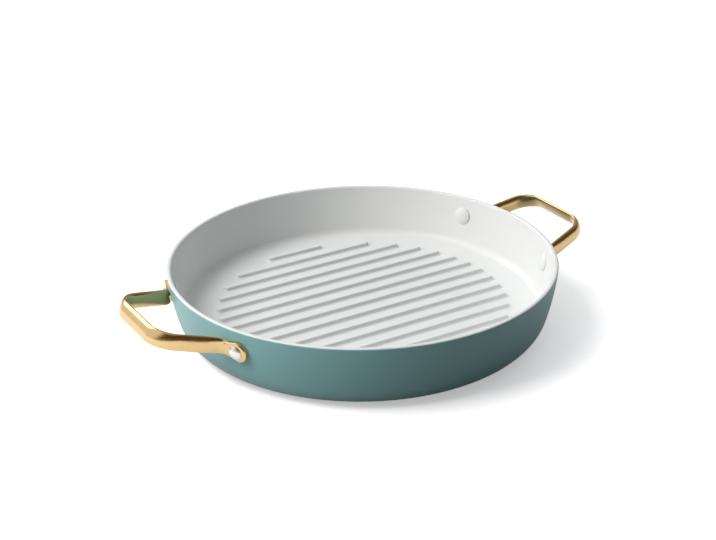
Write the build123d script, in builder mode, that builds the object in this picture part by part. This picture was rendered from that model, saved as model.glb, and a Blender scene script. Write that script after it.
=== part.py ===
"""Round grill pan with a ridged floor and two riveted side handles.

The pan stands on z = 0 with its axis on the origin.  The handles lie along X
and the ridges run parallel to X.  All lengths are in millimetres.
"""

import os
from math import atan2, cos, degrees, radians, sin, sqrt, tan

from build123d import *

# Pan shell, cast in one piece
rim_radius = 140.0
pan_height = 50.0
wall_thickness = 3.4
lower_wall_thickness = 4.4
wall_flare = 6.6
corner_width = 19.4
corner_rise = 14.6
rim_edge_radius = 1.3

# Floor and underside
floor_thickness = 7.8
recess_depth = 5.0
foot_width = 9.0
foot_edge_radius = 1.4
inner_corner_width = 6.2
inner_corner_rise = 4.8

# Ridges of the cooking surface
ridge_pitch = 14.7
ridge_height = 2.9
ridge_top_width = 4.3
ridge_draft = 10.0
ridge_border = 18.0
ridge_shortest_half = 18.0
ridge_edge_radius = 0.8
ridge_root_radius = 1.9

# Rivets, two to each handle
rivet_angle = 22.8
rivet_drop = 15.1
shank_radius = 3.0
shank_clearance = 0.05
inner_head_radius = 6.6
inner_head_rise = 2.6
inner_head_edge = 0.9
outer_head_radius = 5.1
outer_head_rise = 2.9
outer_head_edge = 0.7

# Handles: a bent strap of oval section with a pad at each foot
finger_space = 35.3
arm_angle = 12.7
handle_rise_angle = 14.6
strap_height = 11.8
strap_thickness = 5.2
grip_height = 11.8
grip_thickness = 4.2
grip_lean_angle = 28.0
grip_bend_radius = 18.0
foot_bend_radius = 9.0
foot_start_offset = 5.0
knee_offset = 12.1
foot_blend_length = 16.0
pad_thickness = 3.0
pad_radius = 7.6
pad_end_offset = 0.9
pad_neck_offset = 6.5
pad_neck_radius = 5.35
pad_edge_radius = 1.0

# Cuts and hidden roots run this far past the face they start from
overrun = 2.0
# Edges are picked this close to the height asked for
pick_tolerance = 0.01

base_radius = rim_radius - wall_flare - corner_width
floor_top = recess_depth + floor_thickness
recess_radius = base_radius - foot_width
rim_inner_radius = rim_radius - wall_thickness
rivet_height = pan_height - rivet_drop
grip_reach = rim_radius + finger_space


def draw_outer_side():
    """Arc round the lower corner and arc up the wall, radius across and height up."""
    corner_end = (base_radius + corner_width, corner_rise)
    corner = TangentArc((base_radius, 0), corner_end, tangent=(1, 0))
    wall = TangentArc(corner_end, (rim_radius, pan_height), tangent=corner % 1)
    return wall


def wall_at(arc, height):
    """Radius and upward lean in degrees of a wall arc at one height."""
    low, high = 0.0, 1.0
    for _ in range(50):
        middle = (low + high) / 2
        if (arc @ middle).Y < height:
            low = middle
        else:
            high = middle
    direction = arc % low
    return (arc @ low).X, degrees(atan2(direction.X, direction.Y))


def edges_at(builder, height):
    """Edges of the part in progress that lie flat at one height."""
    low, high = height - pick_tolerance, height + pick_tolerance
    return builder.edges().filter_by_position(Axis.Z, low, high)


with BuildLine() as outer_side:
    outer_wall = draw_outer_side()

inner_corner_top = floor_top + inner_corner_rise
inner_corner_radius_at_top = wall_at(outer_wall, inner_corner_top)[0] - lower_wall_thickness
inner_floor_radius = inner_corner_radius_at_top - inner_corner_width


def draw_inner_side():
    """Arc round the floor corner and arc up the inside of the wall."""
    corner_end = (inner_corner_radius_at_top, inner_corner_top)
    corner = TangentArc((inner_floor_radius, floor_top), corner_end, tangent=(1, 0))
    wall = TangentArc(corner_end, (rim_inner_radius, pan_height), tangent=corner % 1)
    return wall


with BuildLine() as inner_side:
    inner_wall = draw_inner_side()

# Where a rivet crosses the wall: outer radius, lean of the wall, thickness along the rivet
seat_radius, wall_lean = wall_at(outer_wall, rivet_height)
wall_along_rivet = wall_thickness
for _ in range(20):
    inner_height = rivet_height + wall_along_rivet * sin(radians(wall_lean))
    inner_radius = wall_at(inner_wall, inner_height)[0]
    wall_along_rivet = (seat_radius - inner_radius) / cos(radians(wall_lean))


def rivet_plane(angle):
    """Plane on the outer wall at a rivet, its normal pointing out of the pan."""
    around, lean = radians(angle), radians(wall_lean)
    return Plane(
        origin=(seat_radius * cos(around), seat_radius * sin(around), rivet_height),
        x_dir=(-sin(around), cos(around), 0),
        z_dir=(cos(around) * cos(lean), sin(around) * cos(lean), -sin(lean)),
    )


# The plain turned shell, before the ridges and the bores
with BuildPart() as shell_blank:
    with BuildSketch(Plane.XZ) as shell_section:
        with BuildLine() as shell_outline:
            Polyline((0, floor_top), (0, recess_depth), (recess_radius, recess_depth))
            Polyline((recess_radius, recess_depth), (recess_radius, 0), (base_radius, 0))
            draw_outer_side()
            Line((rim_radius, pan_height), (rim_inner_radius, pan_height))
            draw_inner_side()
            Line((inner_floor_radius, floor_top), (0, floor_top))
        make_face()
    revolve(axis=Axis.Z)
    fillet(edges_at(shell_blank, pan_height), rim_edge_radius)
    fillet(edges_at(shell_blank, 0).sort_by(SortBy.RADIUS)[0], foot_edge_radius)

# The filled outer shape of the pan, which trims what is fixed to the wall
with BuildPart() as pan_envelope:
    with BuildSketch(Plane.XZ) as envelope_section:
        with BuildLine() as envelope_outline:
            Polyline((rim_radius, pan_height), (0, pan_height), (0, 0), (base_radius, 0))
            draw_outer_side()
        make_face()
    revolve(axis=Axis.Z)

ridge_base_width = ridge_top_width + 2 * ridge_height * tan(radians(ridge_draft))
# As many ridges as fit while the outermost one keeps its shortest length
ridge_end_radius = inner_floor_radius - ridge_border
ridges_per_side = int(sqrt(ridge_end_radius**2 - ridge_shortest_half**2) / ridge_pitch)
ridge_count = 2 * ridges_per_side + 1

with BuildPart() as pan_body:
    add(shell_blank.part)
    # The outermost ridges are the short ones: every end lies on one circle
    with BuildSketch(Plane.XY.offset(floor_top)) as ridge_plan:
        for index in range(ridge_count):
            offset_y = (index - (ridge_count - 1) / 2) * ridge_pitch
            half_length = sqrt(ridge_end_radius**2 - offset_y**2)
            with Locations((0, offset_y)):
                SlotOverall(2 * half_length, ridge_base_width)
    extrude(amount=ridge_height, taper=ridge_draft)
    fillet(edges_at(pan_body, floor_top + ridge_height), ridge_edge_radius)
    root_edges = edges_at(pan_body, floor_top).filter_by(
        lambda edge: edge.length < 2 * ridge_end_radius
    )
    fillet(root_edges, ridge_root_radius)
    # Bores for the rivets
    for angle in (rivet_angle, -rivet_angle, 180 + rivet_angle, 180 - rivet_angle):
        with BuildSketch(rivet_plane(angle).offset(overrun)):
            Circle(shank_radius)
        extrude(amount=-(wall_along_rivet + 2 * overrun), mode=Mode.SUBTRACT)
pan_body.part.label = "pan_body"

# The strap leaves each pad beside its rivet and is bent in a plane that rises outward
arm, rise, lean = radians(arm_angle), radians(handle_rise_angle), radians(grip_lean_angle)
grip_upright = Vector(-sin(lean), 0, cos(lean))
pad_plane = rivet_plane(rivet_angle)
foot_start = pad_plane.from_local_coords((-foot_start_offset, 0, pad_thickness / 2))
grip_plane = Plane(
    origin=(foot_start.X, 0, foot_start.Z),
    x_dir=(cos(rise), 0, sin(rise)),
    z_dir=(-sin(rise), 0, cos(rise)),
)


def on_grip_plane(plan_x, plan_y):
    """Point of the grip plane above or below a point given in plan."""
    return grip_plane.from_local_coords(((plan_x - foot_start.X) / cos(rise), plan_y))


# In plan the foot runs along the wall to the knee, and the arm from there to the corner
knee = pad_plane.from_local_coords((-knee_offset, 0, pad_thickness / 2))
along_arm = (cos(arm), -sin(arm))
grip_corner_offset = knee.Y - (grip_reach - knee.X) * tan(arm)
arm_start = on_grip_plane(
    knee.X + along_arm[0] * foot_blend_length, knee.Y + along_arm[1] * foot_blend_length
)

with BuildPart() as handle_right:
    # The pad lies on the wall and narrows towards the strap
    with BuildSketch(pad_plane.offset(-overrun)) as pad_outline:
        with Locations((pad_end_offset, 0)):
            Circle(pad_radius)
        with Locations((-pad_neck_offset, 0)):
            Circle(pad_neck_radius)
        make_hull()
    extrude(amount=pad_thickness + overrun)
    pad_face = handle_right.faces().sort_by(Axis(pad_plane.origin, pad_plane.z_dir))[-1]
    fillet(pad_face.edges(), pad_edge_radius)
    # The foot turns from the lean of the wall to that of the grip plane
    with BuildLine() as foot_path:
        FilletPolyline(
            foot_start, on_grip_plane(knee.X, knee.Y), arm_start, radius=foot_bend_radius
        )
    upright = pad_plane.y_dir
    start_section = Plane(foot_start, x_dir=upright, z_dir=foot_path.line % 0)
    arm_section = Plane(arm_start, x_dir=grip_plane.z_dir, z_dir=foot_path.line % 1)
    with BuildSketch(start_section):
        Ellipse(strap_height / 2, pad_thickness / 2)
    with BuildSketch(arm_section):
        Ellipse(strap_height / 2, strap_thickness / 2)
    sweep(multisection=True)
    mirror(about=Plane.XZ)
    # Round each bend the strap turns into a wider grip that leans over the fingers
    with BuildLine() as grip_path:
        FilletPolyline(
            arm_start,
            on_grip_plane(grip_reach, grip_corner_offset),
            on_grip_plane(grip_reach, -grip_corner_offset),
            Vector(arm_start.X, -arm_start.Y, arm_start.Z),
            radius=grip_bend_radius,
        )
    grip_wire = grip_path.wires()[0]
    arm_length = grip_path.edges().filter_by(GeomType.LINE).sort_by(Axis.X)[0].length
    bend_length = grip_path.edges().filter_by(GeomType.CIRCLE)[0].length
    bend_start = arm_length / grip_wire.length
    bend_end = (arm_length + bend_length) / grip_wire.length
    for position in (0, bend_start, bend_end, 0.5, 1 - bend_end, 1 - bend_start, 1):
        on_grip = bend_end <= position <= 1 - bend_end
        section_plane = Plane(
            grip_wire @ position,
            x_dir=grip_upright if on_grip else grip_plane.z_dir,
            z_dir=grip_wire % position,
        )
        with BuildSketch(section_plane):
            if on_grip:
                Ellipse(grip_height / 2, grip_thickness / 2)
            else:
                Ellipse(strap_height / 2, strap_thickness / 2)
    sweep(path=grip_wire, multisection=True)
    add(pan_envelope.part, mode=Mode.SUBTRACT)
    for side in (1, -1):
        with BuildSketch(rivet_plane(side * rivet_angle).offset(-overrun)):
            Circle(shank_radius)
        extrude(amount=pad_thickness + 2 * overrun, mode=Mode.SUBTRACT)
handle_right.part.label = "handle_right"

with BuildPart() as handle_left:
    mirror(handle_right.part, about=Plane.YZ)
handle_left.part.label = "handle_left"


def make_rivet(angle, label):
    """Rivet with a domed head inside the pan and a smaller one on the pad."""
    seat = rivet_plane(angle)
    section_plane = Plane(origin=seat.origin, x_dir=seat.x_dir, z_dir=seat.x_dir.cross(seat.z_dir))
    rivet_axis = Axis(seat.origin, seat.z_dir)
    inner_face = -wall_along_rivet
    with BuildPart() as rivet:
        with BuildSketch(section_plane):
            with BuildLine():
                crown = (0, inner_face - inner_head_rise)
                edge = (inner_head_radius, inner_face - inner_head_edge)
                root = (inner_head_radius, inner_face + overrun / 2)
                TangentArc(crown, edge, tangent=(1, 0))
                Polyline(edge, root, (0, inner_face + overrun / 2), crown)
            make_face()
        revolve(axis=rivet_axis)
        # The head is pressed to the curve of the wall
        add(shell_blank.part, mode=Mode.SUBTRACT)
        with BuildSketch(section_plane):
            with BuildLine():
                crown = (0, pad_thickness + outer_head_rise)
                edge = (outer_head_radius, pad_thickness + outer_head_edge)
                TangentArc(crown, edge, tangent=(1, 0))
                Polyline(edge, (outer_head_radius, pad_thickness), (0, pad_thickness), crown)
            make_face()
        revolve(axis=rivet_axis)
        with BuildSketch(seat.offset(inner_face - inner_head_edge)):
            Circle(shank_radius - shank_clearance)
        extrude(amount=wall_along_rivet + inner_head_edge + pad_thickness + outer_head_edge)
    rivet.part.label = label
    return rivet


rivets = {
    "rivet_right_rear": make_rivet(rivet_angle, "rivet_right_rear"),
    "rivet_right_front": make_rivet(-rivet_angle, "rivet_right_front"),
    "rivet_left_rear": make_rivet(180 - rivet_angle, "rivet_left_rear"),
    "rivet_left_front": make_rivet(180 + rivet_angle, "rivet_left_front"),
}

os.makedirs("parts", exist_ok=True)
export_step(pan_body.part, "parts/pan_body.step")
export_step(handle_right.part, "parts/handle_right.step")
export_step(handle_left.part, "parts/handle_left.step")
for name, rivet in rivets.items():
    export_step(rivet.part, "parts/" + name + ".step")
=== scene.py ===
"""Looks of the grill pan: a teal-coated pan with a ridged off-white floor and gold-toned handles.

Laid out as an add-on and run as a script.  All lengths are in metres, the pan stands on
z = 0 with its axis on the origin, and the ridges and the handles lie along X.
"""

from math import acos, atan2, cos, pi, radians, sin, sqrt, tan

import bmesh
import bpy
from bpy.props import FloatProperty, FloatVectorProperty, IntProperty, PointerProperty
from bpy.types import Operator, Panel, PropertyGroup
from mathutils import Matrix, Vector


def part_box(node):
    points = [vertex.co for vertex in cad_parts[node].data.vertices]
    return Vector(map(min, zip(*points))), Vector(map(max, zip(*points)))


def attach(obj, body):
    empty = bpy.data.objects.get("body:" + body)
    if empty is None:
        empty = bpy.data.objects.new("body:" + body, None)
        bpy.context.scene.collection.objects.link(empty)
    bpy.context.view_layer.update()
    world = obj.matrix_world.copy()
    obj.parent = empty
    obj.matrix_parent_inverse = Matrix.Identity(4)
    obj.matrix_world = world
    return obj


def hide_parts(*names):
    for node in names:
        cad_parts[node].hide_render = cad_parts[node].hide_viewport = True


bl_info = {
    "name": "Grill pan maker",
    "version": (1, 0, 0),
    "blender": (4, 5, 0),
    "location": "View3D > Sidebar > Grill pan",
    "description": "Builds a ridged grill pan with riveted handles, its finishes and its studio",
    "category": "Add Mesh",
}

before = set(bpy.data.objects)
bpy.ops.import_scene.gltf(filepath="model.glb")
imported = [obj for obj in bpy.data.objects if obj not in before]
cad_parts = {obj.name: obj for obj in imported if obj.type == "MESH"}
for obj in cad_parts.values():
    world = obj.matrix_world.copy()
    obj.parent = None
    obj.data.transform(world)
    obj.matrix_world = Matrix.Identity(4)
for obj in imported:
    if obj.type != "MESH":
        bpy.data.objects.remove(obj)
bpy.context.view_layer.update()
pan_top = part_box("pan_body")[1][2]

MERGE = 1e-6  # vertices closer than this are one
PICK = 2e-5  # edges and faces are picked this close to the place asked for
FINE_STEPS = 200  # steps of a wall line that other pieces are measured against
FLOOR_SIDE = 14  # side of the studio's floor
CAMERA_PLACE = (-0.49161, -0.82316, 0.48789)
CAMERA_TURN = (64.9534, 0.6927, -30.9828)  # in degrees
CAMERA_LENS = 73.911  # in millimetres, as the sensor's width
SENSOR_WIDTH = 36
FADES = {  # cosines between which each part of the room appears, towards its middle
    "back": (0.1, 0.95),
    "back foot": (0, 0.4),
    "overhead": (0.75, 0.97),
    "screen": (0.45, 0.88),
    "ceiling": (0.80, 0.97),
    "strip": (0.93, 0.98),
}
RIVETS = {  # each rivet's side in X and in Y
    "rivet_right_rear": (1, 1),
    "rivet_right_front": (1, -1),
    "rivet_left_rear": (-1, 1),
    "rivet_left_front": (-1, -1),
}


def length(name, description, default):
    """A length in metres that the sidebar shows in the scene's unit."""
    return FloatProperty(name=name, description=description, default=default, unit="LENGTH")


def angle(name, description, default):
    """An angle, given here in degrees."""
    return FloatProperty(
        name=name, description=description, default=radians(default), subtype="ANGLE"
    )


def share(name, description, default):
    """A number from 0 to 1."""
    return FloatProperty(name=name, description=description, default=default, min=0, max=1)


def colour(name, description, default):
    """A linear colour."""
    return FloatVectorProperty(
        name=name, description=description, default=default, size=3, min=0, max=1, subtype="COLOR"
    )


class ShellSizes(PropertyGroup):
    rim_radius: length("Rim radius", "Outer radius of the pan at its rim", 0.140)
    height: length("Height", "Height of the rim over the table", pan_top)
    rim_thickness: length("Rim thickness", "Thickness of the wall at the rim", 0.0034)
    low_wall_thickness: length("Low wall thickness", "Thickness above the inner corner", 0.0044)
    base_radius: length("Base radius", "Radius of the flat foot", 0.114)
    corner_width: length("Corner width", "How far the lower corner reaches out", 0.0194)
    corner_rise: length("Corner rise", "How high the lower corner rises", 0.0146)
    rim_edge: length("Rim edge", "Radius of the two edges of the rim", 0.0013)
    floor_top: length("Floor top", "Height of the cooking floor over the table", 0.0128)
    recess: length("Recess", "Depth of the hollow under the floor", 0.0050)
    foot_width: length("Foot width", "Width of the ring foot", 0.009)
    foot_edge: length("Foot edge", "Radius of the inner edge of the foot", 0.0014)
    inner_width: length("Inner corner width", "How far the inner corner reaches out", 0.0062)
    inner_rise: length("Inner corner rise", "How high the inner corner rises", 0.0048)
    segments: IntProperty(name="Segments", description="Steps round the pan", default=224, min=32)


class RidgeSizes(PropertyGroup):
    pitch: length("Pitch", "From one ridge to the next", 0.0147)
    height: length("Height", "Height of a ridge over the floor", 0.0029)
    top_width: length("Top width", "Width of the flat top", 0.0043)
    draft: angle("Draft", "Lean of the flanks", 10)
    end_radius: length("End radius", "Radius of the circle that the ends lie on", 0.10564)
    edge: length("Edge", "Radius of the top edge", 0.0008)
    root: length("Root", "Radius of the hollow at the root", 0.0019)
    per_side: IntProperty(name="Ridges each side", description="Beside the middle one", default=7)


class HandleSizes(PropertyGroup):
    reach: length("Reach", "From the pan's axis to the middle of the grip", 0.1753)
    arm_angle: angle("Arm angle", "How far the arms draw together", 12.7)
    rise_angle: angle("Rise angle", "How steeply the handle rises", 14.6)
    strap_height: length("Strap height", "Height of the strap in the arms", 0.0118)
    strap_thickness: length("Strap thickness", "Thickness of the strap in the arms", 0.0052)
    grip_height: length("Grip height", "Height of the strap in the grip", 0.0118)
    grip_thickness: length("Grip thickness", "Thickness of the strap in the grip", 0.0042)
    grip_lean: angle("Grip lean", "Lean of the grip towards the pan", 28)
    bend: length("Bend", "Radius of the bends beside the grip", 0.018)
    foot_bend: length("Foot bend", "Radius of the bend beside the pad", 0.009)
    knee_offset: length("Knee offset", "From the rivet to the bend of the foot", 0.0121)
    foot_offset: length("Foot offset", "From the rivet to the start of the strap", 0.005)
    foot_blend: length("Foot blend", "Length over which the foot turns upright", 0.016)
    pad_thickness: length("Pad thickness", "Thickness of the pad under the rivet", 0.003)
    pad_radius: length("Pad radius", "Radius of the pad's round end", 0.0076)
    pad_end: length("Pad end", "From the rivet to the middle of the round end", 0.0009)
    pad_neck: length("Pad neck", "From the rivet to the neck of the pad", 0.0065)
    pad_neck_radius: length("Pad neck radius", "Radius of the pad's narrow end", 0.00535)
    pad_edge: length("Pad edge", "Radius of the pad's outer edge", 0.001)


class RivetSizes(PropertyGroup):
    angle: angle("Angle", "From the handle's middle to the rivet, round the pan", 22.8)
    height: length("Height", "Height of the rivet over the table", 0.0349)
    shank_radius: length("Shank radius", "Radius of the shank", 0.00295)
    inner_radius: length("Inner head radius", "Radius of the head inside the pan", 0.0066)
    inner_rise: length("Inner head rise", "Rise of the head inside the pan", 0.0026)
    inner_edge: length("Inner head edge", "Height of the inner head's rim", 0.0009)
    outer_radius: length("Outer head radius", "Radius of the head on the pad", 0.0051)
    outer_rise: length("Outer head rise", "Rise of the head on the pad", 0.0029)
    outer_edge: length("Outer head edge", "Height of the outer head's rim", 0.0007)


class Finishes(PropertyGroup):
    teal: colour("Teal", "Coating of the outside", (0.258, 0.530, 0.545))
    teal_roughness: share("Teal roughness", "Roughness of the outside", 0.42)
    teal_sheen: share("Teal sheen", "Soft light edge of the outside", 0.26)
    sheen_roughness: share("Sheen roughness", "Width of that edge", 0.3)
    pale: colour("Off-white", "Coating of the inside", (0.735, 0.746, 0.742))
    pale_roughness: share("Off-white roughness", "Roughness of the inside", 0.24)
    gold: colour("Gold tone", "Metal of the handles", (0.715, 0.505, 0.235))
    gold_roughness: share("Gold roughness", "Roughness of the handles", 0.20)
    gold_coat: share("Gold lacquer", "Strength of the lacquer on the handles", 0.5)
    coat_roughness: share("Lacquer roughness", "Roughness of the lacquer", 0.15)
    silver: colour("Rivet metal", "Metal of the outer rivet heads", (0.93, 0.93, 0.92))
    silver_roughness: share("Rivet roughness", "Roughness of the outer rivet heads", 0.36)


class StudioSettings(PropertyGroup):
    key_azimuth: angle("Key azimuth", "Where the soft light stands, from +X", 164)
    key_height: angle("Key height", "How high the soft light stands", 47)
    key_distance: length("Light distance", "From the pan to both lights", 2.2)
    key_size: length("Key size", "Side of the soft light", 1.45)
    key_power: FloatProperty(name="Key power", description="Watts", default=48.5, unit="POWER")
    fill_azimuth: angle("Fill azimuth", "Where the weak light stands, from +X", 181)
    fill_height: angle("Fill height", "How high the weak light stands", 12)
    fill_size: length("Fill size", "Side of the weak light", 1.0)
    fill_power: FloatProperty(name="Fill power", description="Watts", default=7, unit="POWER")
    key_tint: colour("Light tint", "Colour of both lights", (1.0, 0.975, 0.965))
    back_azimuth: angle("Back azimuth", "Where the pale back of the room is, from +X", 59)
    back_height: angle("Back height", "How high its middle is", 32)
    back: share("Back", "Brightness of the pale back of the room", 0.84)
    back_foot: share("Back foot", "Share of it near the floor", 0.40)
    overhead: share("Overhead", "Extra brightness straight above", 0.18)
    room: share("Room", "Brightness of the dark front of the room", 0.07)
    room_tint: colour("Room tint", "Colour of the light of the room", (0.94, 1.0, 1.0))
    side_azimuth: angle("Side azimuth", "Where the screen is that reflections show", 139)
    side_height: angle("Side height", "How high the middle of that screen is", 32)
    strip_azimuth: angle("Strip azimuth", "Where the bright heart of the screen is", 108)
    strip_height: angle("Strip height", "How high the bright heart is", 33)
    strip: FloatProperty(name="Strip", description="Extra brightness of the heart", default=2.4)
    mirror_pale: colour("Screen", "The pale screen in reflections", (0.95, 0.95, 0.95))
    mirror_dark: colour("Dark room", "The dark room in reflections", (0.10, 0.068, 0.036))
    mirror_ceiling: share("Screen above", "Share of the screen straight above", 0.5)
    mirror_back: share("Screen at the back", "Share of the pale back in reflections", 0.4)
    floor_tone: share("Floor tone", "How pale the floor is", 1.0)
    floor_tint: colour("Floor tint", "Colour of the floor", (1.0, 0.965, 0.985))
    floor_glow: share("Floor glow", "Lift of the floor for the camera", 0.41)
    glow_start: length("Glow start", "Distance from which the floor's lift grows", 0.5)
    glow_end: length("Glow end", "Distance from which the floor is white by itself", 1.2)
    glossy_glow: share("Glow in metal", "Share of that lift that reflections show", 0.10)
    bounce_tone: share("Bounce tone", "How pale the floor is to the light it throws back", 0.15)


# ---------------------------------------------------------------- modelling helpers


def settings():
    return bpy.context.scene.grill_pan


def start_object(name, add, **place):
    """Add a primitive with nothing else selected, name it and enter edit mode."""
    bpy.ops.object.select_all(action="DESELECT")
    add(**place)
    piece = bpy.context.object
    piece.name = name
    piece.data.name = name
    bpy.ops.object.mode_set(mode="EDIT")
    bpy.ops.mesh.select_mode(type="VERT")
    bpy.ops.mesh.select_all(action="SELECT")
    return piece


def draw_chain(name, points):
    """Extrude one vertex along the points of a profile and leave the chain in edit mode."""
    piece = start_object(name, bpy.ops.mesh.primitive_plane_add, size=0.01)
    bpy.ops.mesh.merge(type="CENTER")
    bpy.ops.transform.translate(value=points[0])
    for before, after in zip(points, points[1:]):
        step = Vector(after) - Vector(before)
        bpy.ops.mesh.extrude_region_move(TRANSFORM_OT_translate={"value": step})
    bpy.ops.mesh.select_all(action="SELECT")
    return piece


def select_where(piece, kind, test):
    """In edit mode, select only the vertices, edges or faces that pass the test."""
    bpy.ops.mesh.select_all(action="DESELECT")
    bpy.ops.mesh.select_mode(type={"verts": "VERT", "edges": "EDGE", "faces": "FACE"}[kind])
    mesh = bmesh.from_edit_mesh(piece.data)
    for element in getattr(mesh, kind):
        element.select_set(test(element))
    bmesh.update_edit_mesh(piece.data)


def on_ring(radius, height):
    """Test for the edges of a ring round the Z axis."""

    def test(edge):
        return all(
            abs(vertex.co.z - height) < PICK and abs(vertex.co.xy.length - radius) < PICK
            for vertex in edge.verts
        )

    return test


def turn_selection(turn, centre):
    """Turn the selection by a rotation matrix about a point."""
    for axis, part in zip("XYZ", turn.to_euler("XYZ")):
        # Without a window this operator turns the other way
        bpy.ops.transform.rotate(
            value=-part, orient_axis=axis, orient_type="GLOBAL", center_override=centre
        )


def close_mesh():
    """In edit mode, merge what meets and point every face outwards."""
    bpy.ops.mesh.select_mode(type="VERT")
    bpy.ops.mesh.select_all(action="SELECT")
    bpy.ops.mesh.remove_doubles(threshold=MERGE)
    bpy.ops.mesh.normals_make_consistent(inside=False)


def leave_edit(smooth_angle=32):
    bpy.ops.object.mode_set(mode="OBJECT")
    bpy.ops.object.shade_smooth_by_angle(angle=radians(smooth_angle))


def copy_piece(piece, name):
    """Copy an object with its own mesh and make the copy the only one selected."""
    twin = piece.copy()
    twin.data = piece.data.copy()
    twin.name = name
    twin.data.name = name
    bpy.context.scene.collection.objects.link(twin)
    bpy.ops.object.select_all(action="DESELECT")
    twin.select_set(True)
    bpy.context.view_layer.objects.active = twin
    return twin


def apply_modifier(piece, kind, **values):
    modifier = piece.modifiers.new(kind.title(), kind)
    for key, value in values.items():
        setattr(modifier, key, value)
    bpy.context.view_layer.objects.active = piece
    bpy.ops.object.modifier_apply(modifier=modifier.name)


def coat_selection(piece, ground, coat):
    """Give a piece one finish, and its selected faces another."""
    piece.data.materials.append(finish(ground))
    piece.data.materials.append(finish(coat))
    piece.active_material_index = 1
    bpy.ops.object.material_slot_assign()


def finish_piece(piece, slot, materials, *nodes):
    """Give a piece its finish and its body, and hide the imported part of each node that it stands
    for.
    """
    piece.data.materials.clear()
    for material in materials:
        piece.data.materials.append(material)
    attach(piece, "root")
    if nodes:
        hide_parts(*nodes)


def tangent_arc(start, heading, end, steps):
    """Points after start on the arc that leaves along heading, and its heading at the end."""
    normal = Vector((-heading.y, heading.x))
    chord = end - start
    radius = chord.dot(chord) / (2 * chord.dot(normal))
    centre = start + normal * radius
    turn = 2 * atan2(chord.dot(normal), chord.dot(heading))
    first = start - centre
    points = []
    for index in range(1, steps + 1):
        part = turn * index / steps
        points.append(centre + Matrix.Rotation(part, 2) @ first)
    return points, Matrix.Rotation(turn, 2) @ heading


# ---------------------------------------------------------------- the pan's own lines


def outer_side(sizes, corner_steps=14, wall_steps=16):
    """Outside of the pan from the foot to the rim, as radius and height."""
    start = Vector((sizes.base_radius, 0))
    bend = Vector((sizes.base_radius + sizes.corner_width, sizes.corner_rise))
    corner, heading = tangent_arc(start, Vector((1, 0)), bend, corner_steps)
    wall, _ = tangent_arc(bend, heading, Vector((sizes.rim_radius, sizes.height)), wall_steps)
    return [start] + corner + wall


def radius_at(line, height):
    """Radius of a side line at a height, and the angle by which it leans out there."""
    for low, high in zip(line, line[1:]):
        if low.y <= height <= high.y:
            part = (height - low.y) / (high.y - low.y)
            return low.x + part * (high.x - low.x), atan2(high.x - low.x, high.y - low.y)
    raise ValueError("the height lies outside the wall")


def inner_side(sizes, corner_steps=14, wall_steps=14):
    """Inside of the pan from the floor to the rim, as radius and height."""
    top = sizes.floor_top + sizes.inner_rise
    outside = radius_at(outer_side(sizes, wall_steps=FINE_STEPS), top)[0]
    bend = Vector((outside - sizes.low_wall_thickness, top))
    start = Vector((bend.x - sizes.inner_width, sizes.floor_top))
    corner, heading = tangent_arc(start, Vector((1, 0)), bend, corner_steps)
    rim = Vector((sizes.rim_radius - sizes.rim_thickness, sizes.height))
    wall, _ = tangent_arc(bend, heading, rim, wall_steps)
    return [start] + corner + wall


def rivet_seat(shell, rivets):
    """Frame of the right rear rivet's seat on the outer wall, and the wall's thickness there."""
    outside = outer_side(shell, wall_steps=FINE_STEPS)
    inside = inner_side(shell, wall_steps=FINE_STEPS)
    radius, lean = radius_at(outside, rivets.height)
    thickness = shell.rim_thickness
    # The wall is measured square to its outside, which takes some rounds to settle
    for _ in range(20):
        inner_radius = radius_at(inside, rivets.height + thickness * sin(lean))[0]
        thickness = (radius - inner_radius) / cos(lean)
    around = rivets.angle
    along = Vector((-sin(around), cos(around), 0))
    outward = Vector((cos(around) * cos(lean), sin(around) * cos(lean), -sin(lean)))
    seat = Matrix((along, outward.cross(along), outward)).transposed().to_4x4()
    seat.translation = (radius * cos(around), radius * sin(around), rivets.height)
    return seat, thickness


# ---------------------------------------------------------------- finishes


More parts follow.
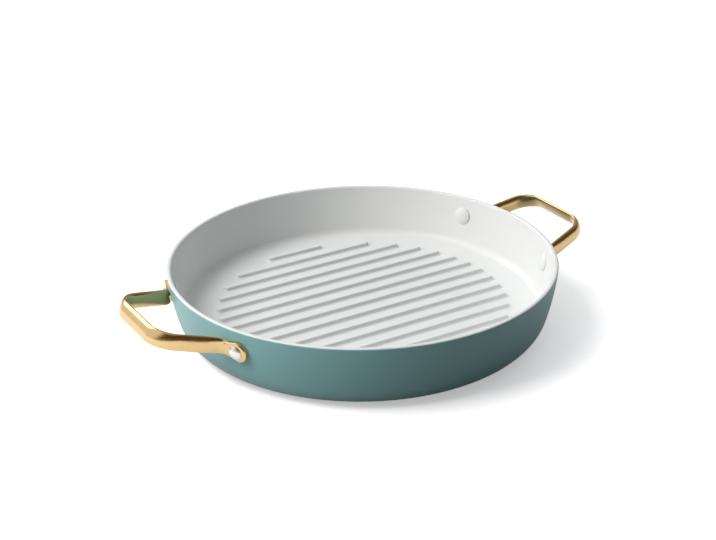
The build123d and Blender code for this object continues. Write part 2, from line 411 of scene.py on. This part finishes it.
class NodeSheet:
    """The node tree of a material or a world, filled from left to right."""

    def __init__(self, owner, output="ShaderNodeOutputMaterial"):
        owner.use_nodes = True
        self.owner = owner
        self.tree = owner.node_tree
        self.tree.nodes.clear()
        self.output = self.add(output)
        self.coordinates = self.add("ShaderNodeTexCoord").outputs

    def feed(self, socket, value):
        if isinstance(value, bpy.types.NodeSocket):
            self.tree.links.new(value, socket)
        else:
            socket.default_value = value

    def add(self, kind, **inputs):
        """A node with inputs by name."""
        node = self.tree.nodes.new(kind)
        for name, value in inputs.items():
            self.feed(node.inputs[name.replace("_", " ")], value)
        return node

    def row(self, kind, *values, **modes):
        """A node with inputs in their order, after it is set to its modes."""
        node = self.tree.nodes.new(kind)
        for name, mode in modes.items():
            setattr(node, name, mode)
        for socket, value in zip(node.inputs, values):
            self.feed(socket, value)
        return node

    def math(self, operation, *values):
        return self.row("ShaderNodeMath", *values, operation=operation).outputs["Value"]

    def noise(self, scale, detail, rough=0.5, place=None):
        place = place or self.coordinates["Object"]
        return self.add(
            "ShaderNodeTexNoise", Vector=place, Scale=scale, Detail=detail, Roughness=rough
        ).outputs["Fac"]

    def range(self, value, low, high, start=0.3, end=0.7, mode="LINEAR"):
        """A value that runs from start to end, made to run from low to high."""
        ends = {"From_Min": start, "From_Max": end, "To_Min": low, "To_Max": high}
        node = self.add("ShaderNodeMapRange", Value=value, **ends)
        node.interpolation_type = mode
        return node.outputs["Result"]

    def mix(self, factor, first, second):
        node = self.add("ShaderNodeMix")
        node.data_type = "RGBA"
        for index, value in zip((0, 6, 7), (factor, first, second)):
            self.feed(node.inputs[index], value)
        return node.outputs[2]

    def bump(self, height, strength, distance, **normal):
        node = self.add(
            "ShaderNodeBump", Height=height, Strength=strength, Distance=distance, **normal
        )
        return node.outputs["Normal"]

    def close(self, shader):
        """Put a shader on the surface, and give back what it is for."""
        self.tree.links.new(shader.outputs[0], self.output.inputs["Surface"])
        return self.owner


def tone(base, factor):
    """A colour made lighter or darker, with alpha."""
    return tuple(min(1, part * factor) for part in base) + (1,)


def coating(name, base, roughness, sheen):
    """Fired ceramic coating: wide faint clouds, uneven gloss and a slightly rippled skin."""
    sheet = NodeSheet(bpy.data.materials.new(name))
    reach = {"start": 0.2, "end": 0.8}
    clouds = sheet.range(sheet.noise(scale=16, detail=1), 0, 1, **reach)
    body = sheet.mix(clouds, tone(base, 0.988), tone(base, 1.012))
    gloss = sheet.noise(scale=70, detail=1)
    gloss = sheet.range(gloss, roughness - 0.02, roughness + 0.02, **reach)
    ripple = sheet.bump(sheet.noise(scale=420, detail=2), strength=0.05, distance=0.00004)
    skin = sheet.noise(scale=1900, detail=1)
    skin = sheet.bump(skin, strength=0.04, distance=0.00002, Normal=ripple)
    shader = sheet.add(
        "ShaderNodeBsdfPrincipled",
        Base_Color=body,
        Roughness=gloss,
        Normal=skin,
        Sheen_Weight=sheen,
        Sheen_Roughness=settings().finishes.sheen_roughness,
    )
    return sheet.close(shader)


def metal(name, base, roughness, grain, coat):
    """Polished metal with faint draw marks and a little clouding of its gloss."""
    sheet = NodeSheet(bpy.data.materials.new(name))
    clouds = sheet.range(sheet.noise(scale=60, detail=3), 0, 1)
    body = sheet.mix(clouds, tone(base, 0.95), tone(base, 1.04))
    gloss = sheet.noise(scale=140, detail=3)
    gloss = sheet.range(gloss, roughness - 0.05, roughness + 0.06)
    lines = sheet.add("ShaderNodeMapping", Vector=sheet.coordinates["Object"], Scale=grain)
    marks = sheet.noise(scale=1, detail=3, rough=0.6, place=lines.outputs["Vector"])
    shader = sheet.add(
        "ShaderNodeBsdfPrincipled",
        Base_Color=body,
        Metallic=1.0,
        Roughness=gloss,
        Normal=sheet.bump(marks, strength=0.06, distance=0.00003),
        Coat_Weight=coat,
        Coat_Roughness=settings().finishes.coat_roughness,
    )
    return sheet.close(shader)


def finish(name):
    """The finish of that name, made on its first use."""
    if name in bpy.data.materials:
        return bpy.data.materials[name]
    looks = settings().finishes
    if name == "teal_coating":
        return coating(name, looks.teal, looks.teal_roughness, looks.teal_sheen)
    if name == "pale_coating":
        return coating(name, looks.pale, looks.pale_roughness, 0)
    if name == "gold_metal":
        return metal(name, looks.gold, looks.gold_roughness, (260, 2200, 2200), looks.gold_coat)
    if name == "rivet_metal":
        return metal(name, looks.silver, looks.silver_roughness, (900, 900, 900), 0)
    raise ValueError(name)


# ---------------------------------------------------------------- pieces


class GRILLPAN_OT_shell(Operator):
    """Turn the pan from its profile, with a ring foot, rounded corners and a rounded rim"""

    bl_idname = "grill_pan.make_shell"
    bl_label = "Pan shell"

    def execute(self, context):
        sizes = settings().shell
        foot_inner = sizes.base_radius - sizes.foot_width
        outline = [Vector((0, sizes.recess)), Vector((foot_inner, sizes.recess))]
        outline.append(Vector((foot_inner, 0)))
        outline += outer_side(sizes)
        outline += reversed(inner_side(sizes))
        outline.append(Vector((0, sizes.floor_top)))
        shell = draw_chain("pan_shell", [(point.x, 0, point.y) for point in outline])
        bpy.ops.mesh.spin(steps=sizes.segments, angle=2 * pi, center=(0, 0, 0), axis=(0, 0, 1))
        close_mesh()
        for radius in (sizes.rim_radius, sizes.rim_radius - sizes.rim_thickness):
            select_where(shell, "edges", on_ring(radius, sizes.height))
            bpy.ops.mesh.bevel(offset=sizes.rim_edge, segments=6, affect="EDGES")
        select_where(shell, "edges", on_ring(foot_inner, 0))
        bpy.ops.mesh.bevel(offset=sizes.foot_edge, segments=5, affect="EDGES")
        close_mesh()
        # The off-white coating covers the inside and runs over the rim to its outer edge
        middle = sizes.rim_radius - sizes.rim_thickness / 2
        inside = inner_side(sizes, wall_steps=60)
        rounded = 0.55  # a face of the rim whose normal points up more than this is coated

        def is_inside(face):
            place = face.calc_center_median()
            radius = place.xy.length
            if place.z < sizes.floor_top - PICK:
                return False
            if place.z > sizes.height - sizes.rim_edge:
                return radius < middle or face.normal.z > rounded
            return radius < radius_at(inside, place.z)[0] + sizes.rim_thickness / 3

        select_where(shell, "faces", is_inside)
        coat_selection(shell, "teal_coating", "pale_coating")
        leave_edit()
        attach(shell, "root")
        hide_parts("pan_body")
        return {"FINISHED"}


class GRILLPAN_OT_ridges(Operator):
    """Turn one ridge end, draw it out to a ridge, and copy it across the floor"""

    bl_idname = "grill_pan.make_ridges"
    bl_label = "Grill ridges"

    def execute(self, context):
        floor, sizes = settings().shell.floor_top, settings().ridges
        slope = tan(sizes.draft)
        top_radius = sizes.top_width / 2
        base_radius = top_radius + sizes.height * slope
        top = floor + sizes.height
        # Where the root hollow and the top edge meet the flank
        half_turn = (pi / 2 - sizes.draft) / 2
        root_run, edge_run = sizes.root * tan(half_turn), sizes.edge * tan(half_turn)
        down = Vector((sin(sizes.draft), -cos(sizes.draft)))
        # The root starts just below the floor, and a skirt inside the floor closes the ridge
        sunk, skirt_width, skirt_depth = Vector((0, -0.00003)), 0.0001, 0.0006
        root_start = Vector((base_radius + root_run, floor)) + sunk
        root_end = Vector((base_radius, floor)) - down * root_run
        edge_start = Vector((top_radius, top)) + down * edge_run
        edge_end = Vector((top_radius - edge_run, top))
        skirt = Vector((root_start.x + skirt_width, floor)) + 6 * sunk
        bottom = skirt.y - skirt_depth
        outline = [Vector((0, bottom)), Vector((skirt.x, bottom)), skirt, root_start]
        outline += tangent_arc(root_start, Vector((-1, 0)), root_end, steps=6)[0]
        outline += [edge_start] + tangent_arc(edge_start, -down, edge_end, steps=4)[0]
        outline.append(Vector((0, top)))
        ridge = draw_chain("ridge_model", [(0, -point.x, point.y) for point in outline])
        bpy.ops.mesh.spin(steps=20, angle=pi, center=(0, 0, 0), axis=(0, 0, 1))
        bpy.ops.mesh.select_all(action="SELECT")
        bpy.ops.mesh.remove_doubles(threshold=MERGE)
        turned = bmesh.from_edit_mesh(ridge.data).verts
        side = 1 if max(vertex.co.x for vertex in turned) > PICK else -1
        first_half = 0.010  # half length of the model ridge, before each copy gets its own
        bpy.ops.transform.translate(value=(side * first_half, 0, 0))
        select_where(
            ridge,
            "edges",
            lambda edge: edge.is_boundary
            and all(abs(abs(vertex.co.x) - first_half) < PICK for vertex in edge.verts),
        )
        bpy.ops.mesh.extrude_region_move(
            TRANSFORM_OT_translate={"value": (-side * first_half, 0, 0)}
        )
        bpy.ops.object.mode_set(mode="OBJECT")
        apply_modifier(ridge, "MIRROR", use_axis=(True, False, False), merge_threshold=MERGE)
        bpy.ops.object.mode_set(mode="EDIT")
        close_mesh()
        leave_edit()
        for index in range(-sizes.per_side, sizes.per_side + 1):
            across = index * sizes.pitch
            half = sqrt(sizes.end_radius**2 - across**2) - base_radius
            piece = copy_piece(ridge, "grill_ridge_%02d" % (index + sizes.per_side + 1))
            bpy.ops.object.mode_set(mode="EDIT")
            for end in (1, -1):
                select_where(piece, "verts", lambda vertex, end=end: vertex.co.x * end > PICK)
                bpy.ops.transform.translate(value=(end * (half - first_half), 0, 0))
            bpy.ops.mesh.select_all(action="SELECT")
            bpy.ops.transform.translate(value=(0, across, 0))
            bpy.ops.object.mode_set(mode="OBJECT")
            finish_piece(piece, "coated_body", [finish("pale_coating")], "pan_body")
        bpy.data.objects.remove(ridge)
        return {"FINISHED"}


def station(centre, upright, heading):
    """Frame of a strap section: X upright, Z along the strap."""
    ahead = heading.normalized()
    up = (upright - ahead * upright.dot(ahead)).normalized()
    place = Matrix((up, ahead.cross(up), ahead)).transposed().to_4x4()
    place.translation = centre
    return place


def carry_section(before, after, size_before, size_after):
    """Extrude the selected section to its next station, turn it and give it its next size."""
    centre = after.translation
    bpy.ops.mesh.extrude_region_move(
        TRANSFORM_OT_translate={"value": centre - before.translation}
    )
    turn_selection(after.to_3x3() @ before.to_3x3().inverted(), centre)
    bpy.ops.transform.resize(
        value=(size_after[0] / size_before[0], size_after[1] / size_before[1], 1),
        orient_type="GLOBAL",
        orient_matrix=after.to_3x3(),
        orient_matrix_type="GLOBAL",
        center_override=centre,
    )


def ease(part):
    """Rise from 0 to 1 that starts and ends level."""
    return part * part * (3 - 2 * part)


def strap_stations(sizes, seat):
    """Stations of the right handle's rear half, from the middle of the grip to the pad."""
    rise, lean = sizes.rise_angle, sizes.grip_lean
    plane_up = Vector((-sin(rise), 0, cos(rise)))
    grip_up = Vector((-sin(lean), 0, cos(lean)))
    half_pad = sizes.pad_thickness / 2
    foot = seat @ Vector((-sizes.foot_offset, 0, half_pad))
    knee_plan = seat @ Vector((-sizes.knee_offset, 0, half_pad))

    def on_plane(plan_x, plan_y):
        return Vector((plan_x, plan_y, foot.z + (plan_x - foot.x) * tan(rise)))

    knee = on_plane(knee_plan.x, knee_plan.y)
    corner_y = knee.y - (sizes.reach - knee.x) * tan(sizes.arm_angle)
    corner, middle = on_plane(sizes.reach, corner_y), on_plane(sizes.reach, 0)
    strap = (sizes.strap_height, sizes.strap_thickness)
    grip = (sizes.grip_height, sizes.grip_thickness)
    flat = (sizes.strap_height, sizes.pad_thickness)

    def between(first, second, part):
        return tuple(a + (b - a) * part for a, b in zip(first, second))

    def bend_points(before, turn_at, after, radius, steps):
        """Points and headings round a bend, with the bend's own share of the way."""
        first, second = (turn_at - before).normalized(), (after - turn_at).normalized()
        turn = acos(max(-1, min(1, first.dot(second))))
        run = radius * tan(turn / 2)
        inward = (second - first * first.dot(second)).normalized()
        centre = turn_at - first * run + inward * radius
        for index in range(steps + 1):
            part = turn * index / steps
            heading = first * cos(part) + inward * sin(part)
            place = centre + (first * sin(part) - inward * cos(part)) * radius
            yield place, heading, index / steps

    line = []  # centre, upright, heading, size
    bar_steps, arm_steps = 6, 5
    bend = list(bend_points(middle, corner, knee, sizes.bend, steps=18))
    bar_end = bend[0][0]
    for index in range(bar_steps):
        place = middle + (bar_end - middle) * index / bar_steps
        line.append((place, grip_up, Vector((0, 1, 0)), grip))
    for place, heading, part in bend:
        part = ease(part)
        line.append((place, grip_up.lerp(plane_up, part), heading, between(grip, strap, part)))
    arm_end = knee + (corner - knee).normalized() * sizes.foot_blend
    arm = arm_end - bend[-1][0]
    for index in range(1, arm_steps + 1):
        line.append((bend[-1][0] + arm * index / arm_steps, plane_up, arm, strap))
    foot_bend = list(bend_points(arm_end, knee, foot, sizes.foot_bend, steps=10))
    upright = seat.to_3x3() @ Vector((0, 1, 0))
    bend_start, bend_end = foot_bend[0][0], foot_bend[-1][0]
    way = [(arm_end + (bend_start - arm_end) * part, knee - arm_end) for part in (0.35, 0.7)]
    way += [(place, heading) for place, heading, _ in foot_bend]
    way += [(bend_end + (foot - bend_end) * part, foot - knee) for part in (0.5, 1)]
    total = (foot - arm_end).length
    for place, heading in way:
        part = ease(min(1, (place - arm_end).length / total))
        line.append((place, plane_up.lerp(upright, part), heading, between(strap, flat, part)))
    return [(station(centre, up, heading), size) for centre, up, heading, size in line]


class GRILLPAN_OT_handles(Operator):
    """Draw the strap from the grip to the pad, join the pad, and mirror it to both handles"""

    bl_idname = "grill_pan.make_handles"
    bl_label = "Handles"

    def execute(self, context):
        sizes = settings().handles
        seat, _ = rivet_seat(settings().shell, settings().rivets)
        stations = strap_stations(sizes, seat)
        place, size = stations[0]
        strap = start_object(
            "handle_strap", bpy.ops.mesh.primitive_circle_add, vertices=32, radius=0.5
        )
        bpy.ops.mesh.edge_face_add()
        bpy.ops.transform.resize(value=(size[0], size[1], 1))
        turn_selection(place.to_3x3(), (0, 0, 0))
        bpy.ops.transform.translate(value=place.translation)
        bpy.ops.mesh.select_mode(type="FACE")
        for (before, size_before), (after, size_after) in zip(stations, stations[1:]):
            carry_section(before, after, size_before, size_after)
        bpy.ops.mesh.select_all(action="SELECT")
        bpy.ops.mesh.normals_make_consistent(inside=False)
        bpy.ops.object.mode_set(mode="OBJECT")
        pad = self.make_pad(sizes, seat)
        bpy.ops.object.select_all(action="DESELECT")
        strap.select_set(True)
        apply_modifier(strap, "BOOLEAN", operation="UNION", solver="EXACT", object=pad)
        bpy.data.objects.remove(pad)
        bpy.ops.object.mode_set(mode="EDIT")
        select_where(strap, "faces", lambda face: abs(face.calc_center_median().y) < PICK)
        bpy.ops.mesh.delete(type="ONLY_FACE")
        bpy.ops.object.mode_set(mode="OBJECT")
        apply_modifier(strap, "MIRROR", use_axis=(False, True, False), merge_threshold=MERGE * 5)
        bpy.ops.object.mode_set(mode="EDIT")
        close_mesh()
        leave_edit(smooth_angle=40)
        strap.name = "handle_right_strap"
        left = copy_piece(strap, "handle_left_strap")
        bpy.ops.object.mode_set(mode="EDIT")
        bpy.ops.mesh.select_all(action="SELECT")
        bpy.ops.transform.resize(value=(-1, 1, 1), center_override=(0, 0, 0))
        close_mesh()
        leave_edit(smooth_angle=40)
        gold = [finish("gold_metal")]
        finish_piece(strap, "handle_metal", gold, "handle_right")
        finish_piece(left, "handle_metal", gold, "handle_left")
        return {"FINISHED"}

    def make_pad(self, sizes, seat):
        """Flat pad with one round end and a narrower neck, on the wall under the rivet."""
        pad = start_object(
            "pad", bpy.ops.mesh.primitive_circle_add, vertices=72, radius=sizes.pad_radius
        )
        sunk = 0.0012  # the pad's back lies this deep in the curved wall
        neck = sizes.pad_neck_radius / sizes.pad_radius
        select_where(pad, "verts", lambda vertex: vertex.co.x < -PICK)
        bpy.ops.transform.resize(value=(neck, neck, 1), center_override=(0, 0, 0))
        bpy.ops.transform.translate(value=(-sizes.pad_neck - sizes.pad_end, 0, 0))
        bpy.ops.mesh.select_all(action="SELECT")
        bpy.ops.transform.translate(value=(sizes.pad_end, 0, -sunk))
        bpy.ops.mesh.edge_face_add()
        bpy.ops.mesh.select_mode(type="FACE")
        bpy.ops.mesh.extrude_region_move(
            TRANSFORM_OT_translate={"value": (0, 0, sunk + sizes.pad_thickness)}
        )
        top = sizes.pad_thickness
        select_where(
            pad, "edges", lambda edge: all(abs(vertex.co.z - top) < PICK for vertex in edge.verts)
        )
        bpy.ops.mesh.bevel(offset=sizes.pad_edge, segments=5, affect="EDGES")
        bpy.ops.mesh.select_all(action="SELECT")
        bpy.ops.mesh.normals_make_consistent(inside=False)
        bpy.ops.object.mode_set(mode="OBJECT")
        pad.matrix_world = seat
        bpy.ops.object.transform_apply(location=True, rotation=True, scale=True)
        return pad


class GRILLPAN_OT_rivets(Operator):
    """Turn one rivet with a coated head inside and a bright head outside, and place four"""

    bl_idname = "grill_pan.make_rivets"
    bl_label = "Rivets"

    def execute(self, context):
        sizes, pad = settings().rivets, settings().handles.pad_thickness
        seat, wall = rivet_seat(settings().shell, sizes)
        sunk = 0.0006  # how deep the root of a head lies in what it sits on
        soft = 0.0003  # size of the bevel between a head's rim and its dome

        def head(radius, rise, edge, face, side):
            """Half profile of a head from its root to its crown."""
            root = Vector((radius, face - side * sunk))
            rim = Vector((radius, face + side * edge))
            crown = Vector((0, face + side * rise))
            dome = tangent_arc(crown, Vector((1, 0)), rim, steps=12)[0]
            return [root, rim, *reversed(dome[:-1]), crown]

        inner = head(sizes.inner_radius, sizes.inner_rise, sizes.inner_edge, -wall, -1)
        outer = head(sizes.outer_radius, sizes.outer_rise, sizes.outer_edge, pad, 1)
        shank = [Vector((sizes.shank_radius, height)) for height in (-wall + sunk, pad - sunk)]
        outline = list(reversed(inner)) + shank + outer
        rivet = draw_chain("rivet_model", [(point.x, 0, point.y) for point in outline])
        bpy.ops.mesh.spin(steps=64, angle=2 * pi, center=(0, 0, 0), axis=(0, 0, 1))
        close_mesh()
        rims = (
            (sizes.inner_radius, -wall - sizes.inner_edge),
            (sizes.outer_radius, pad + sizes.outer_edge),
        )
        for radius, height in rims:
            select_where(rivet, "edges", on_ring(radius, height))
            bpy.ops.mesh.bevel(offset=soft, segments=4, affect="EDGES")
        select_where(rivet, "faces", lambda face: face.calc_center_median().z < -wall + sunk)
        coat_selection(rivet, "rivet_metal", "pale_coating")
        leave_edit()
        for name, (side_x, side_y) in RIVETS.items():
            piece = copy_piece(rivet, name + "_head")
            around = sizes.angle * side_x * side_y + (pi if side_x < 0 else 0)
            turn = Matrix.Rotation(around - sizes.angle, 4, "Z")
            piece.matrix_world = turn @ seat
            bpy.ops.object.transform_apply(location=True, rotation=True, scale=True)
            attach(piece, "root")
            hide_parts(name)
        bpy.data.objects.remove(rivet)
        return {"FINISHED"}


def direction(azimuth, height):
    """Unit vector towards a place in the room, from its angle round the pan and its height."""
    return Vector((cos(azimuth) * cos(height), sin(azimuth) * cos(height), sin(height)))


class GRILLPAN_OT_studio(Operator):
    """Lay the pale floor and set the room, the soft light, the weak light and the camera"""

    bl_idname = "grill_pan.make_studio"
    bl_label = "Studio"

    def execute(self, context):
        looks = settings().studio
        self.lay_floor(looks)
        self.light_world(looks)
        key = looks.key_azimuth, looks.key_height, looks.key_size, looks.key_power
        fill = looks.fill_azimuth, looks.fill_height, looks.fill_size, looks.fill_power
        for name, (azimuth, height, size, power) in {"key_light": key, "fill_light": fill}.items():
            toward = direction(azimuth, height)
            bpy.ops.object.light_add(type="AREA", location=toward * looks.key_distance)
            lamp = context.object
            lamp.name = name
            lamp.data.size = size
            lamp.data.energy = power
            lamp.data.color = looks.key_tint
            lamp.rotation_euler = toward.to_track_quat("Z", "Y").to_euler()
            lamp.visible_glossy = False
        turn = [radians(part) for part in CAMERA_TURN]
        bpy.ops.object.camera_add(location=CAMERA_PLACE, rotation=turn)
        camera = context.object
        camera.name = "photo_camera"
        camera.data.lens = CAMERA_LENS
        camera.data.sensor_width = SENSOR_WIDTH
        camera.data.clip_start = 0.05
        context.scene.camera = camera
        context.scene.view_settings.view_transform = "Standard"
        return {"FINISHED"}

    def lay_floor(self, looks):
        """A pale floor that glows a little where it is seen and throws back little light."""
        bpy.ops.object.select_all(action="DESELECT")
        bpy.ops.mesh.primitive_plane_add(size=FLOOR_SIDE)
        floor = bpy.context.object
        floor.name = "studio_floor"
        sheet = NodeSheet(bpy.data.materials.new("studio_floor"))
        rays = sheet.add("ShaderNodeLightPath").outputs
        seen_by = {
            "Is Camera Ray": 1,
            "Is Transmission Ray": 1,
            "Is Glossy Ray": looks.glossy_glow,
        }
        glowing = 0
        for ray, level in seen_by.items():
            glowing = sheet.math("MULTIPLY_ADD", rays[ray], level, glowing)
        # Far from the pan, where the soft light fades, the floor stays white by its own glow
        place = sheet.coordinates["Object"]
        distance = sheet.row("ShaderNodeVectorMath", place, operation="LENGTH").outputs["Value"]
        level = sheet.range(distance, looks.floor_glow, 1, looks.glow_start, looks.glow_end)
        strength = sheet.math("MULTIPLY", glowing, level)
        glow = sheet.add("ShaderNodeEmission", Color=(1, 1, 1, 1), Strength=strength)
        lit = sheet.add("ShaderNodeBsdfDiffuse", Color=tone(looks.floor_tint, looks.floor_tone))
        dim = sheet.add("ShaderNodeBsdfDiffuse", Color=tone((1, 1, 1), looks.bounce_tone))
        seen = sheet.row("ShaderNodeAddShader", lit.outputs[0], glow.outputs[0]).outputs[0]
        bounced = rays["Is Diffuse Ray"]
        sheet.close(sheet.row("ShaderNodeMixShader", bounced, seen, dim.outputs[0]))
        floor.data.materials.append(sheet.owner)

    def light_world(self, looks):
        """A room with a pale back and a dark front; the camera sees plain white in its place."""
        world = bpy.data.worlds.new("studio")
        bpy.context.scene.world = world
        sheet = NodeSheet(world, "ShaderNodeOutputWorld")
        rays = sheet.add("ShaderNodeLightPath").outputs
        math = sheet.math
        above = (0, 0, 1)

        def fade(part, towards):
            """1 towards a direction and 0 away from it, for one part of the room."""
            place = sheet.coordinates["Generated"]
            aim = sheet.row("ShaderNodeVectorMath", place, towards, operation="DOT_PRODUCT")
            return sheet.range(aim.outputs["Value"], 0, 1, *FADES[part], mode="SMOOTHSTEP")

        # The room as the pan is lit by it
        back = fade("back", direction(looks.back_azimuth, looks.back_height))
        foot = math("MULTIPLY", fade("back foot", above), 1 - looks.back_foot)
        foot = math("ADD", foot, looks.back_foot)
        pale = math("MULTIPLY", math("MULTIPLY", back, foot), looks.back)
        overhead = math("MULTIPLY", fade("overhead", above), looks.overhead)
        room = math("ADD", math("ADD", pale, overhead), looks.room)
        seen = math("MAXIMUM", rays["Is Camera Ray"], rays["Is Transmission Ray"])
        even = sheet.add(
            "ShaderNodeBackground",
            Color=sheet.mix(seen, tone(looks.room_tint, 1), (1, 1, 1, 1)),
            Strength=math("MAXIMUM", room, seen),
        )
        # The room as reflections show it: a dark one with a pale screen and its bright heart
        screen = fade("screen", direction(looks.side_azimuth, looks.side_height))
        ceiling = math("MULTIPLY", fade("ceiling", above), looks.mirror_ceiling)
        others = math("MAXIMUM", ceiling, math("MULTIPLY", pale, looks.mirror_back))
        screen = math("MAXIMUM", screen, others)
        strip = fade("strip", direction(looks.strip_azimuth, looks.strip_height))
        mirror = sheet.add(
            "ShaderNodeBackground",
            Color=sheet.mix(screen, tone(looks.mirror_dark, 1), tone(looks.mirror_pale, 1)),
            Strength=math("ADD", math("MULTIPLY", strip, looks.strip), 1),
        )
        glossy = rays["Is Glossy Ray"]
        sheet.close(
            sheet.row("ShaderNodeMixShader", glossy, even.outputs[0], mirror.outputs[0])
        )


# ---------------------------------------------------------------- sidebar and registration


class GrillPanSettings(PropertyGroup):
    shell: PointerProperty(type=ShellSizes)
    ridges: PointerProperty(type=RidgeSizes)
    handles: PointerProperty(type=HandleSizes)
    rivets: PointerProperty(type=RivetSizes)
    finishes: PointerProperty(type=Finishes)
    studio: PointerProperty(type=StudioSettings)


PIECES = (GRILLPAN_OT_shell, GRILLPAN_OT_ridges, GRILLPAN_OT_handles, GRILLPAN_OT_rivets)


class GRILLPAN_PT_sidebar(Panel):
    """Sizes, finishes and makers of the grill pan"""

    bl_idname = "GRILLPAN_PT_sidebar"
    bl_label = "Grill pan"
    bl_space_type = "VIEW_3D"
    bl_region_type = "UI"
    bl_category = "Grill pan"

    def draw(self, context):
        for group in ("shell", "ridges", "handles", "rivets", "finishes", "studio"):
            sizes = getattr(settings(), group)
            box = self.layout.box()
            box.label(text=group.title())
            for name in sizes.__annotations__:
                box.prop(sizes, name)
        for maker in PIECES + (GRILLPAN_OT_studio,):
            self.layout.operator(maker.bl_idname)


CLASSES = (
    ShellSizes,
    RidgeSizes,
    HandleSizes,
    RivetSizes,
    Finishes,
    StudioSettings,
    GrillPanSettings,
    *PIECES,
    GRILLPAN_OT_studio,
    GRILLPAN_PT_sidebar,
)


def register():
    for item in CLASSES:
        bpy.utils.register_class(item)
    bpy.types.Scene.grill_pan = PointerProperty(type=GrillPanSettings)


def unregister():
    del bpy.types.Scene.grill_pan
    for item in reversed(CLASSES):
        bpy.utils.unregister_class(item)


def main():
    register()
    bpy.ops.grill_pan.make_studio()
    bpy.ops.grill_pan.make_shell()
    bpy.ops.grill_pan.make_ridges()
    bpy.ops.grill_pan.make_handles()
    bpy.ops.grill_pan.make_rivets()


if __name__ == "__main__":
    main()
